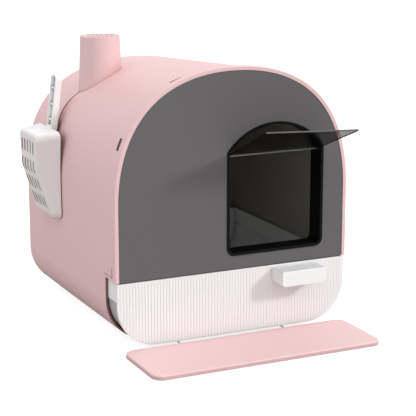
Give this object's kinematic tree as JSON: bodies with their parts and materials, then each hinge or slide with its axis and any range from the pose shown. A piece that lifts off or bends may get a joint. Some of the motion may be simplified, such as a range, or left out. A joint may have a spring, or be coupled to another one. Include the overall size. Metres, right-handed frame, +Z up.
{
  "type": "covered litter box",
  "caption": "Arched covered litter box with a front flap door, a slide-out litter drawer, a filter chimney, a hanging scoop and a flat step in front.",
  "frame": {"origin": "on the floor, under the middle of the shell", "axes": "+Z up, -Y to the front where the door and the drawer are, +X to the right of the door's front"},
  "size_m": [0.4558, 0.57, 0.472],
  "materials": {
    "pink_plastic": "satin moulded, fine grain",
    "grey_plastic": "satin moulded",
    "black_plastic": "satin moulded",
    "smoke_plastic": "clear smoke tint, polished",
    "white_plastic": "satin moulded",
    "carbon_fleece": "felted pad",
    "steel": "drawn wire",
    "rubber": "dull"
  },
  "bodies": {
    "house": {"house_shell": "pink_plastic", "front_panel": "grey_plastic", "door_frame": "black_plastic", "chimney_tube": "pink_plastic", "chimney_lock_ring": "pink_plastic", "scoop_hanger": "pink_plastic", "hanger_screws": "steel", "rubber_feet": "rubber"},
    "flap": {"door_flap": "smoke_plastic", "hinge_rod": "steel"},
    "drawer": {"litter_tray": "white_plastic", "drawer_front": "white_plastic", "drawer_handle": "white_plastic", "handle_screws": "steel"},
    "scoop_body": {"scoop": "white_plastic"},
    "vent": {"chimney_cap": "pink_plastic", "carbon_filter": "carbon_fleece", "filter_grid": "white_plastic"},
    "step": {"step_pedal": "pink_plastic", "step_rails": "steel", "pedal_pads": "rubber"}
  },
  "joints": [
    {"name": "flap_hinge", "type": "hinge", "parent": "house", "child": "flap", "pos_m": [0.0745, -0.207, 0.303], "axis": [1, 0, 0], "range_deg": [0, 195]},
    {"name": "drawer_slide", "type": "slide", "parent": "house", "child": "drawer", "axis": [0, -1, 0], "range_m": [0, 0.3]},
    {"name": "scoop_lift", "type": "slide", "parent": "house", "child": "scoop_body", "axis": [0, 0, 1], "range_m": [0, 0.06]},
    {"name": "vent_lift", "type": "slide", "parent": "house", "child": "vent", "axis": [0, 0, 1], "range_m": [0, 0.06]},
    {"name": "step_slide", "type": "slide", "parent": "house", "child": "step", "axis": [0, -1, 0], "range_m": [0, 0.06]}
  ]
}
